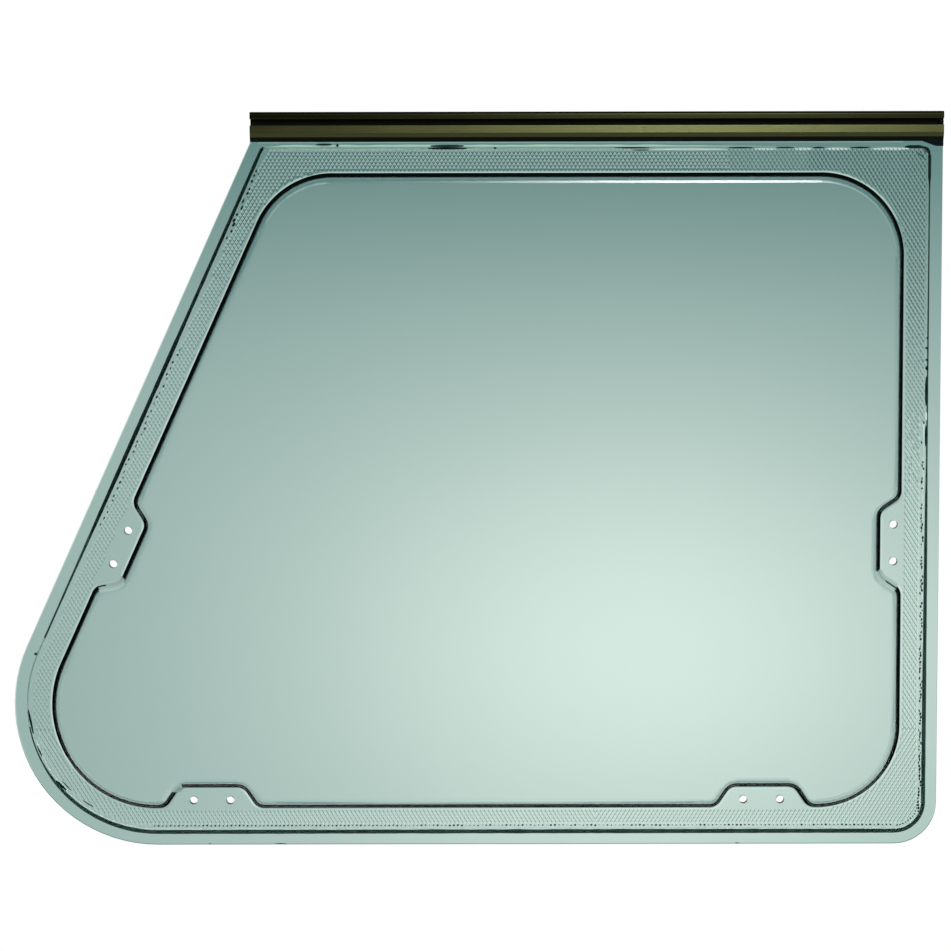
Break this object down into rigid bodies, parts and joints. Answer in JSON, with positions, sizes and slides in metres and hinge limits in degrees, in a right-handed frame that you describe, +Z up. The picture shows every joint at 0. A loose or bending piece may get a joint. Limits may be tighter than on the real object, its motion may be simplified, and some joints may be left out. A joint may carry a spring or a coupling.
{
  "type": "caravan window",
  "caption": "Top-hung double-glazed caravan window with a raked side, a formed inner sheet with hardware lands and a hinge rail along its top edge.",
  "frame": {"origin": "on the rail's flat ridge, the face against the caravan's wall, at the middle of the rail's length", "axes": "+X along the rail towards the square side, +Y towards the outside of the caravan, +Z up"},
  "size_m": [0.9281, 0.0245, 0.7351],
  "materials": {
    "tinted_acrylic": "polished",
    "clear_acrylic": "polished",
    "adhesive": "satin",
    "bronze_anodised": "satin",
    "black_rubber": "matte"
  },
  "bodies": {
    "root": {"outer_pane": "tinted_acrylic", "inner_pane": "clear_acrylic", "bond_strip": "adhesive", "hinge_rail": "bronze_anodised", "glazing_seal": "black_rubber", "end_plug": "black_rubber"}
  },
  "joints": []
}
